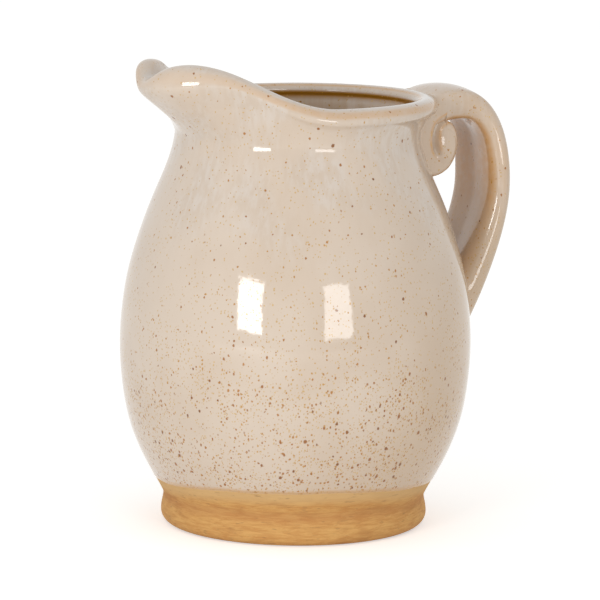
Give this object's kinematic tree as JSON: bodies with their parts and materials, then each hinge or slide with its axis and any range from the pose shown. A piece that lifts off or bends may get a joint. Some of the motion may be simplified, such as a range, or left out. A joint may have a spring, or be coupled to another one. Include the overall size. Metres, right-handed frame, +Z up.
{
  "type": "ceramic jug",
  "caption": "Pear-shaped glazed stoneware jug with a flared neck, rolled rim, raised pouring spout, grooved strap handle with a scroll, and a bare clay foot.",
  "frame": {"origin": "centre of the flat standing face, on the axis of the jug", "axes": "+Z up along the axis of the jug, +X toward the handle, -X toward the spout"},
  "size_m": [0.1719, 0.1504, 0.2021],
  "materials": {
    "cream_glaze": "gloss",
    "bare_clay": "matte"
  },
  "bodies": {
    "root": {"base_slab": "bare_clay", "foot_ring": "bare_clay", "body_wall": "cream_glaze", "neck_collar": "cream_glaze", "pouring_spout": "cream_glaze", "handle_strap": "cream_glaze", "handle_scroll": "cream_glaze"}
  },
  "joints": []
}
